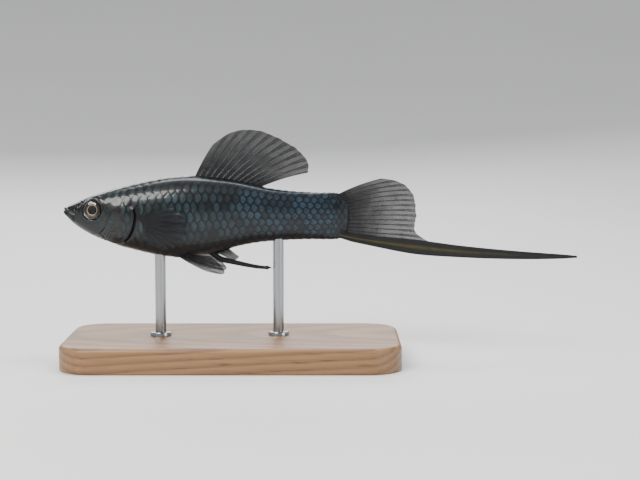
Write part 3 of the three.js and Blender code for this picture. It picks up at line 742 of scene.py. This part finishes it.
def gillLines(g):
    # where each line along the body reaches the bare strip at the gill opening and where it leaves it,
    # with true for the lines that cross it
    rows = np.linspace(0, 1, 801)
    steps = np.linspace(10, 24, 561)
    line = bareBody(steps, rows[:, None])
    outside, place, _, _ = fromOval(gillCover, line[..., 0], line[..., 2])
    start, end = plates["bareSpan"]
    isOpen = (place > start) & (place < end) & (np.abs(line[..., 1]) > plates["bareMidline"])
    within = [isOpen & (outside < limit) for limit in plates["bare"]]
    passes = within[0].any(1) & within[1].any(1)
    last = [steps[::-1][inside[:, ::-1].argmax(1)] for inside in within]
    once = np.mod(g, 1)
    front, rear = (np.interp(once, rows[passes], line[passes]) for line in last)
    return front, rear, passes[np.round(once * (len(rows) - 1)).astype(int)]


def trimAtGill(s, g, length):
    # a scale that would cross the gill opening keeps the part behind it, or else the part in front.
    # The last two are true where a scale lies beside the opening, and where it lies behind it
    front, rear, beside = gillLines(g)
    crosses = beside & (s < rear) & (s + length > front)
    frontPart, rearPart = front - s, s + length - rear
    behind = np.where(crosses, rearPart > plates["leastPart"][0], s >= rear)
    longEnough = ~crosses | behind | (frontPart > plates["leastPart"][1])
    newLength = np.where(crosses, np.where(behind, rearPart, frontPart), length)
    flatter = np.where(crosses & ~behind, newLength / length, 1)
    return np.where(crosses & behind, rear, s), newLength, flatter, longEnough, beside, behind


def makeScales(finish):
    chance = np.random.default_rng(plates["seed"])
    row, column = np.indices((plates["rows"], plates["inRow"])).reshape(2, -1, 1, 1)
    s = plates["firstRoot"] + plates["pitch"] * (column + 0.5 * (row % 2))
    g = row / plates["rows"]
    body = softStep(s, *plates["headSpan"])
    longest = mix(plates["length"], plates["lastLength"], softStep(s, *plates["tailSpan"]))
    length = np.minimum(mix(plates["headLength"], plates["length"], body), longest)
    rise = mix(plates["headLift"], plates["lift"], body) * length
    s, length, flatter, longEnough, beside, behind = trimAtGill(s, g, length)
    keep = ((s <= plates["lastRoot"]) & bearsScale(s, g, length) & longEnough).ravel()
    s, g, length, rise, beside, behind = (x[keep] for x in (s, g, length, rise * flatter, beside, behind))
    shift, lift, growth = (chance.normal(0, spread, s.shape) for spread in plates["uneven"])
    s, rise, length = s + shift, rise * (1 + lift), length * (1 + growth)
    shade = np.clip(chance.normal(*plates["shade"], len(s)), plates["darkest"], 1)
    a, b = np.array(plates["along"])[:, None], np.linspace(-1, 1, plates["across"])
    arc = 1 - plates["arc"][0] * b**2 - plates["arc"][1] * b**4
    around = g + plates["spread"] * b * (1 - plates["waist"] * (1 - a) ** 2) / plates["rows"]
    front, rear, _ = gillLines(around)
    start = np.where(beside & behind, np.maximum(s, rear), s)
    end = s + arc * length
    end = np.where(beside & ~behind, np.minimum(end, front), end)
    along = mix(start, np.maximum(end, start + 0.2), a)
    lastS = skinEnd - 0.05
    base, normal = onBody(np.minimum(along, lastS), around, broadRelief)
    base[..., 0] += np.maximum(along - lastS, 0)
    sunk = (plates["sunk"][0] + plates["sunk"][1] * b**2) * (1 - a) ** 2
    height = a * arc * rise - sunk - plates["droop"] * b**2 - plates["rearDrop"] * softStep(a, 0.8, 1)
    thick = plates["thickness"] * (1 - 0.5 * softStep(a, 0.6, 1))
    thick = thick + plates["rootThickness"] * (1 - softStep(a, 0, 0.3))
    top = base + normal * height[..., None]
    under = (top - normal * thick[..., None])[:, [0, -1]]
    each = np.concatenate([top, under], axis=1).reshape(len(s), -1, 3)
    first = (np.arange(len(s)) * each.shape[1])[:, None, None]
    faces = [(first + pattern).reshape(-1, pattern.shape[1]) for pattern in plateFaces(*top.shape[1:3])]

    own = np.stack(np.broadcast_arrays(a, (b + 1) / 2), -1)
    own = np.concatenate([own, own[[0, -1]]]).reshape(-1, 2)
    place = np.stack([np.interp(s, stations, unwrappedRings), g * 0.99 + 0.005], -1)
    patches = (place[:, 0] + (own - 0.5) * plates["patch"]).reshape(-1, 2)
    owns = np.tile(own, (len(s), 1))
    print(f"{len(s)} scales")
    makePiece("scales", placed(each.reshape(-1, 3)), faces, finish, "scaled_skin",
              maps={"OFBake": [patches[f] for f in faces], "plateMap": [owns[f] for f in faces]},
              marks={"plateShade": np.repeat(shade, each.shape[1])}, sharp=35)


# The fins: a thin sheet over a middle surface, u from root to edge and v from the first ray to the last
rootDepth = 0.9  # how far a fin's root lies in the body
finForm = dict(
    forkAt=(0.42, 0.72), fork=(0.15, 0.075), rayWidth=(0.15, 0.055), ragged=0.012, notch=0.007, pleat=0.06,
    rootThickness=0.9, web=0.16, ridge=(0.2, 0.05), columns=22, seed=1, curl=0)


def rayShare(u, rays, fin):
    # how much of a ray is at a point: a bell across each ray, which forks twice on its way out
    nearest = np.round(rays)
    early = 0.05 * np.sin(2.4 * nearest + fin["seed"])
    forks = zip(fin["fork"], fin["forkAt"])
    first, second = (fork * np.clip((u - at - early) / (1 - at), 0, 1) for fork, at in forks)
    width = mix(*fin["rayWidth"], u)
    branches = [p * first + q * second for p in (-1, 1) for q in (-1, 1)]
    return np.maximum.reduce([ridges(rays - nearest - branch, (0, width, 1)) for branch in branches])


def makeFin(name, fin, middle, finish, replaces=()):
    # each face lies half the web and the ray's ridge from the middle surface, along its normal
    v, u = np.meshgrid(np.linspace(0, 1, (fin["rays"] - 1) * fin["columns"] + 1),
                       np.linspace(0, 1, fin["rows"] + 1))
    rays = v * (fin["rays"] - 1)
    share, tips = rayShare(u, rays, fin), rayShare(1, rays, fin)
    uneven = 0.5 + 0.5 * np.sin(2.3 * rays + 5 * fin["seed"]) * np.sin(0.9 * rays + fin["seed"])
    out = u * (1 - fin["notch"] * (1 - tips) - fin["ragged"] * uneven)
    step = 1e-3
    back = middle(out + step, v) - middle(out - step, v)
    across = middle(out, v + step) - middle(out, v - step)
    normal = unit(np.cross(back, across))
    surface = middle(out, v) + normal * (fin["pleat"] * u * np.cos(2 * np.pi * rays))[..., None]
    web = mix(fin["rootThickness"], fin["web"], softStep(u, 0, 0.25)) / 2 * mix(1, 0.55, softStep(u, 0.9, 1))
    ridge = mix(*fin["ridge"], u) * softStep(u, 0, 0.06) * mix(1, 0.4, softStep(u, 0.93, 1))
    half = normal * (web + ridge * share)[..., None]
    points = placed([surface + half, surface - half]).reshape(-1, 3)

    faces, own = sheetFaces(*u.shape), np.stack([u, v], -1).reshape(-1, 2)
    corners = [own[rows % len(own)] for rows in faces]
    unwrapped = [pairs * (0.98, 0.47) + (0.01, up) for pairs, up in zip(corners, (0.01, 0.51, 0.01))]
    reach = out * np.linalg.norm(middle(1 + 0 * v[:1], v[:1]) - middle(0 * v[:1], v[:1]), axis=-1)
    makePiece(name, points, faces, finish, "fin_membrane", replaces,
              maps={"OFBake": unwrapped, "finMap": corners},
              marks={"ray": np.tile(share, (2, 1)), "reach": np.tile(reach, (2, 1))})


def wave(x):
    return np.sin(2 * np.pi * x)


def alongRay(fin, u, v):
    # how far back and up from its root a point of a ray lies, and its distance: rays lean from the first
    # angle to the last and curl on their way out
    angle = np.radians(mix(*fin["angles"], v) + fin["curl"] * u)
    reach = (smoothCurve(fin["lengths"], v) + rootDepth) * u
    return reach * np.cos(angle), reach * np.sin(angle), reach


dorsal = dict(
    finForm, rays=13, rows=90, startS=35.5, base=17.5, angles=(68, 24), curl=-7, wave=0.45,
    lengths=((0, 10), (0.1, 14.6), (0.3, 17.6), (0.65, 18), (0.88, 16.4), (1, 13.5)))


def dorsalMiddle(u, v):
    # a flag along the back that waves to both sides
    rootS = dorsal["startS"] + dorsal["base"] * v
    back, up, _ = alongRay(dorsal, u, v)
    return np.stack([rootS + back, dorsal["wave"] * u * wave(1.2 * v + 0.1),
                     alongBody("top", rootS) - rootDepth + up], -1)


finRootS = fish["bodyLength"] + 0.3
sword = dict(
    finForm, rays=4, rows=260, columns=14, rootH=-5.3, drop=5.2, ease=2.4, seed=3, ragged=0.004, notch=0.001,
    forkAt=(0.7, 0.9), fork=(0.1, 0.05), rayWidth=(0.2, 0.2), pleat=0, web=0.42, sunk=1.6,
    ridge=(0.17, 0.03), rootShare=0.8, rootReach=4.2,
    halfHeights=((0, 1.0), (0.14, 1.4), (0.32, 2.0), (0.5, 1.65), (0.75, 1.1), (0.93, 0.6), (1, 0.25)))
swordLength = fish["totalLength"] - finRootS


def swordMiddleH(s):
    # it sinks quickly and then levels out: drop * (1 - left^ease)
    left = 1 - np.clip((s - finRootS) / swordLength, 0, 1)
    return sword["rootH"] - sword["drop"] * (1 - left ** sword["ease"])


def swordHalf(s):
    return smoothCurve(sword["halfHeights"], (s - finRootS) / swordLength)


def swordMiddle(u, v):
    # a blade that is widest a third of the way back. Its lower edge starts inside the body
    s = finRootS - sword["sunk"] + (swordLength + sword["sunk"]) * u
    share = mix(sword["rootShare"], 1, softStep(s - finRootS, -sword["sunk"], sword["rootReach"]))
    return np.stack([s, 0 * s, swordMiddleH(s) + swordHalf(s) * (1 - 2 * v * share)], -1)


caudal = dict(
    finForm, rays=14, rows=100, rootTop=6.2, slope=0.5, curve=0.012, wave=0.5, rootThickness=1.5, sunk=1.6,
    swordShare=0.8, reaches=((0, 11.5), (0.06, 15), (0.16, 18.4), (0.35, 20.8), (0.6, 21.3), (0.82, 21),
    (0.92, 22.4), (1, 26)))


def caudalMiddle(u, v):
    # a fan between its rising top ray and the sword's upper edge, with a slow wave towards its rim
    back = (smoothCurve(caudal["reaches"], v) + caudal["sunk"]) * u - caudal["sunk"]
    s = finRootS + back
    topEdge = caudal["rootTop"] + caudal["slope"] * back - caudal["curve"] * back**2
    lowEdge = swordMiddleH(s) + caudal["swordShare"] * swordHalf(s)
    return np.stack([s, caudal["wave"] * u * u * wave(v), mix(topEdge, lowEdge, v)], -1)


pelvic = dict(
    finForm, rays=6, rows=60, columns=16, startS=29.8, base=2.6, y=1.7, splay=13, angles=(-34, -12), curl=6,
    pullIn=1.1, seed=5, lengths=((0, 9.5), (0.25, 13.5), (0.5, 12), (0.8, 8.5), (1, 6.5)))
pectoral = dict(
    finForm, rays=10, rows=64, columns=18, s=20.9, rake=0.5, rootHs=(0.4, -3.4), angles=(17, -46), out=36,
    cup=10, seed=4, web=0.12, ridge=(0.14, 0.04),
    lengths=((0, 10), (0.2, 13.6), (0.45, 14.6), (0.7, 12.4), (0.88, 9), (1, 6)))


def pelvicMiddle(side):
    def middle(u, v):
        # a narrow blade that trails back under the belly and a little outwards
        rootS = pelvic["startS"] + pelvic["base"] * v
        back, up, reach = alongRay(pelvic, u, v)
        out = pelvic["y"] + reach * np.sin(np.radians(pelvic["splay"])) - pelvic["pullIn"] * v * u
        return np.stack([rootS + back, side * out, bellyAt(rootS, pelvic["y"]) + rootDepth + up], -1)
    return middle


def pectoralMiddle(side):
    def middle(u, v):
        # a rounded fan that stands off the flank and cups towards its upper rays
        rootH = mix(*pectoral["rootHs"], v)
        back, up, reach = alongRay(pectoral, u, v)
        out = np.radians(pectoral["out"] - pectoral["cup"] * u * (1 - v))
        y = flankAt(pectoral["s"], rootH) - rootDepth + reach * np.sin(out)
        return np.stack([pectoral["s"] + pectoral["rake"] * v + back * np.cos(out), side * y,
                         rootH + up * np.cos(out)], -1)
    return middle


gonopodium = dict(
    s=39.6, length=17.5, angle=-13, lift=0.9, fall=2.6, radii=(0.95, 0.42), flatness=0.8, rows=150,
    around=36, lobes=0.16, joints=34, jointDepth=0.035, tip=(0.925, 0.03, 0.22), raysAfter=0.4)
shortRays = dict(
    finForm, rays=5, rows=40, columns=14, base=4.2, seed=6, lengths=((0, 6.1), (1, 3.7)), angles=(-26, -38))


def gonopodiumPath(t):
    # straight down out of the belly, then back and down, with its tip lifted by t^6
    back, down = (gonopodium["length"] * trig(np.radians(gonopodium["angle"])) for trig in (np.cos, np.sin))
    s = gonopodium["s"] + back * t
    start = alongBody("bottom", gonopodium["s"]) + rootDepth
    h = start - gonopodium["fall"] * softStep(t, -0.05, 0.22) + down * np.maximum(t - 0.2, 0)
    return np.stack([s, 0 * s, h + gonopodium["lift"] * t**6], -1)


def makeGonopodium(finish):
    # a jointed rod of three rays side by side that ends in a small hook
    t = np.linspace(0, 1, gonopodium["rows"])[:, None]
    turn = np.linspace(0, 2 * np.pi, gonopodium["around"], endpoint=False)
    along = unit(gonopodiumPath(t + 1e-3) - gonopodiumPath(t - 1e-3))
    up = np.cross([0.0, 1.0, 0.0], along)
    up *= np.sign(up[..., 2:3])
    joints = gonopodium["jointDepth"] * np.cos(2 * np.pi * t * gonopodium["joints"]) * softStep(t, 0.25, 0.4)
    size = mix(*gonopodium["radii"], t) * (1 - 0.7 * softStep(t, 0.93, 1.0)) * (1 + joints)
    size = size * (1 + ridges(t, gonopodium["tip"]))
    ring = (size * (1 - gonopodium["lobes"] * (1 - np.abs(np.cos(1.5 * turn)))))[..., None]
    side = gonopodium["flatness"] * np.sin(turn)[:, None] * [0, 1, 0]
    grid = gonopodiumPath(t) + ring * (np.cos(turn)[:, None] * up + side)
    rows, ones = np.arange(len(grid)) / len(grid), np.ones(grid[..., 0].size + 2)
    makeTube("gonopodium_rod", placed(grid), finish, "fin_membrane", ["gonopodium"],
             maps={"OFBake": (rows, (0, 1)), "finMap": (rows * 0.2, (0, 1))},
             marks={"ray": ones, "reach": 0 * ones})


def shortRayMiddle(u, v):
    rootS = gonopodium["s"] + gonopodium["raysAfter"] + shortRays["base"] * v
    back, up, _ = alongRay(shortRays, u, v)
    return np.stack([rootS + back, 0 * back, alongBody("bottom", rootS) + rootDepth + up], -1)


# The eyes: an iris with a lens in its pupil, under a clear dome
eyeForm = dict(
    pupil=1.26, lens=0.2, iris=0.06, dish=0.05, irisRim=2.5, ball=2.62, depth=1.4, dome=0.62, clear=0.1,
    around=96)


def eyeProfile():
    # the lens's cap, the iris's shallow dish and the back of the ball
    pupil, turns, shares = eyeForm["pupil"], np.linspace(0.02, np.pi / 2, 12), np.linspace(0, 1, 12)
    lens = pupil * np.sin(turns), 0.03 + eyeForm["lens"] * np.cos(turns)
    dish = (mix(pupil + 0.02, eyeForm["irisRim"], shares),
            eyeForm["iris"] * (1 - shares) + eyeForm["dish"] * np.sin(np.pi * shares))
    turns = turns - 0.02
    ball = eyeForm["ball"] * np.cos(turns), -0.12 - eyeForm["depth"] * np.sin(turns)
    return np.hstack([lens, dish, ball]).T


def corneaProfile():
    # the dome and, a clear layer lower, its inner face
    k = np.linspace(0.004, 1, 20)
    outer, inner = (((eyeForm["ball"] - less) * k, -0.1 + (eyeForm["dome"] - less) * (1 - k**2.2) ** 0.5)
                    for less in (0, eyeForm["clear"]))
    return np.hstack([outer, np.fliplr(inner)]).T


def makeEyePart(name, profile, side, finish, replaces=()):
    grid = lathe(profile, eyeForm["around"], *eyeFrame(side))
    reach = profile[:, 0] / eyeForm["ball"]
    makeTube(name, placed(grid), finish, "eye", replaces,
             maps={"OFBake": (np.arange(len(grid)) / len(grid), (0, 1)), "eyeMap": (reach, (0, 0))})


# The stand: a board with rounded edges, two rods and a low collar at the foot of each
stand = dict(
    corner=9, edge=1.3, lowEdge=0.5, edgeSteps=7, arcPoints=16, capInset=7.9, collar=(2.9, 1.1), rodSides=64,
    intoBelly=0.7)


def makeBoard(finish):
    # an outline of four quarter circles is carried up the side and over a rounded edge, below and above
    low, high = np.array(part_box("stand_base")) * 1000
    cap, lowEdge, edge, top = stand["capInset"], stand["lowEdge"], stand["edge"], high[2]
    bend = np.linspace(0, np.pi / 2, stand["edgeSteps"])
    over, along = 1 - np.cos(bend), 1 - np.sin(bend)
    inset = np.array([cap, *lowEdge * along, *edge * over, cap])[:, None, None]
    z = np.array([0, *lowEdge * over, *(top - edge * along), top])[:, None, None]
    turn = np.linspace(0, np.pi / 2, stand["arcPoints"]) + np.arange(4)[:, None] * np.pi / 2
    middle, arm = (low + high) / 2, (high - low) / 2 - stand["corner"]
    toX, toY = np.array([(1, -1, -1, 1), (1, 1, -1, -1)])[..., None]
    x = middle[0] + toX * arm[0] + (stand["corner"] - inset) * np.cos(turn)
    y = middle[1] + toY * arm[1] + (stand["corner"] - inset) * np.sin(turn)
    grid = np.stack(np.broadcast_arrays(x, y, z), -1).reshape(len(z), -1, 3) / 1000
    makeTube("base_board", grid, finish, "stand_wood", ["stand_base"], sharp=30)


def makeRod(name, finish):
    # a round bar with its collar turned in one profile, from the board up into the belly
    low, high = np.array(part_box(name)) * 1000
    x, y, _ = (low + high) / 2
    radius, floor = (high[1] - low[1]) / 2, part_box("stand_base")[1].z * 1000
    wide, tall = stand["collar"]
    rim, top = floor + tall, high[2] + stand["intoBelly"]
    profile = [(wide, floor - 0.02), (wide, rim - 0.3), (wide - 0.1, rim - 0.1), (wide - 0.3, rim),
               (radius + 0.25, rim), (radius, rim - 0.2),
               *((radius, z) for z in np.linspace(rim, top - 0.3, 12)), (radius - 0.3, top)]
    grid = lathe(profile, stand["rodSides"], (x, y, 0), *np.eye(3)) / 1000
    makeTube(name.replace("stand_rod", "steel_rod"), grid, finish, "stand_steel", [name], sharp=30)


# The studio: a pale round bowl of a floor, four soft lamps and the camera at the fish's side
studio = dict(flat=0.45, bowl=1.1, wall=0.3, around=128, below=2e-5)


def makeStudio():
    flat, bowl, turns = studio["flat"], studio["bowl"], np.linspace(0, np.pi / 2, 30)
    profile = [(0.05, 0), (0.2, 0), *zip(flat + bowl * np.sin(turns), bowl - bowl * np.cos(turns)),
               (flat + bowl, bowl + studio["wall"])]
    centre = (0, 0, -studio["below"])
    grid = lathe(profile, studio["around"], centre, *np.eye(3))
    faces, _ = tubeFaces(*grid.shape[:2])
    material, tree = newFinish("paper_finish")
    dress(material, colour=blend(noise(tree, 9, 2), (0.72, 0.72, 0.71), (0.76, 0.76, 0.75)), roughness=0.75)
    points = np.concatenate([grid.reshape(-1, 3), [centre]])
    makeObject("studio_floor", points, faces[:2], material, outward=False)


def aim(obj, target):
    x, y, z = np.array(target) - np.array(obj.location)
    obj.rotation_euler = (np.arctan2(z, np.hypot(x, y)) + np.pi / 2, 0, np.arctan2(y, x) - np.pi / 2)


lamps = {  # place, size, power and colour
    "key": ((-0.30, -0.40, 0.46), (0.36, 0.22), 5.2, (1.0, 0.98, 0.95)),
    "top": ((0.04, 0.08, 0.55), (0.60, 0.16), 3.4, (0.97, 0.98, 1.0)),
    "side": ((0.52, -0.34, 0.20), (0.16, 0.36), 1.4, (0.95, 0.97, 1.0)),
    "rear": ((-0.10, 0.55, 0.30), (0.60, 0.20), 2.2, (1.0, 1.0, 1.0)),
}
skyLight = dict(colour=(0.93, 0.95, 1.0), strength=0.5, lampsAimAt=(0, 0, 0.035))


def makeLamps():
    for name, (place, size, power, colour) in lamps.items():
        data = bpy.data.lights.new(name, "AREA")
        data.shape = "RECTANGLE"
        data.size, data.size_y = size
        data.energy, data.color = power, colour
        aim(addObject(name, data, place), skyLight["lampsAimAt"])
    world = bpy.data.worlds.new("studio")
    world.use_nodes = True
    feed(world.node_tree.nodes["Background"].inputs["Color"], skyLight["colour"])
    feed(world.node_tree.nodes["Background"].inputs["Strength"], skyLight["strength"])
    bpy.context.scene.world = world


camera = {"lens": 85, "elevation": 6, "target": (0.0, 0.0, 0.0335), "width": 0.176}


def makeCamera():
    # far enough for the wanted width to fill the frame's long side
    data = bpy.data.cameras.new("camera")
    data.lens = camera["lens"]
    away = camera["width"] * data.lens / data.sensor_width
    up = np.radians(camera["elevation"])
    x, y, z = camera["target"]
    data.clip_start, data.clip_end = 0.01, 20
    obj = addObject("camera", data, (x, y - away * np.cos(up), z + away * np.sin(up)))
    aim(obj, camera["target"])
    bpy.context.scene.camera = obj


makeCamera()
makeStudio()
makeLamps()
print("studio made")

makeSkin(skinFinish())
print("skin made")
makeScales(scaleFinish())
print("scales made")

smokyFin = finFinish("fin_finish", (0.99, 0.56))
clearFin = finFinish("clear_fin_finish", (0.7, 0.26))
swordFin = finFinish("sword_finish", (1.0, 0.97), striped=True)
makeFin("dorsal", dorsal, dorsalMiddle, smokyFin, ["dorsal_fin"])
makeFin("tail_fan", caudal, caudalMiddle, smokyFin, ["caudal_fin"])
makeFin("sword", sword, swordMiddle, swordFin, ["caudal_sword"])
makeGonopodium(swordFin)
makeFin("gonopodium_rays", shortRays, shortRayMiddle, smokyFin)
for sideName, side in sides.items():
    makeFin(f"pelvic_{sideName}", pelvic, pelvicMiddle(side), smokyFin, [f"pelvic_fin_{sideName}"])
    makeFin(f"pectoral_{sideName}", pectoral, pectoralMiddle(side), clearFin, [f"pectoral_fin_{sideName}"])
print("fins made")

iris, cornea = eyeFinish(), corneaFinish()
for sideName, side in sides.items():
    makeEyePart(f"iris_{sideName}", eyeProfile(), side, iris, [f"eye_{sideName}"])
    makeEyePart(f"cornea_{sideName}", corneaProfile(), side, cornea)
print("eyes made")

makeBoard(oakFinish())
steel = steelFinish()
for rodName in ("stand_rod_front", "stand_rod_rear"):
    makeRod(rodName, steel)
print("stand made")
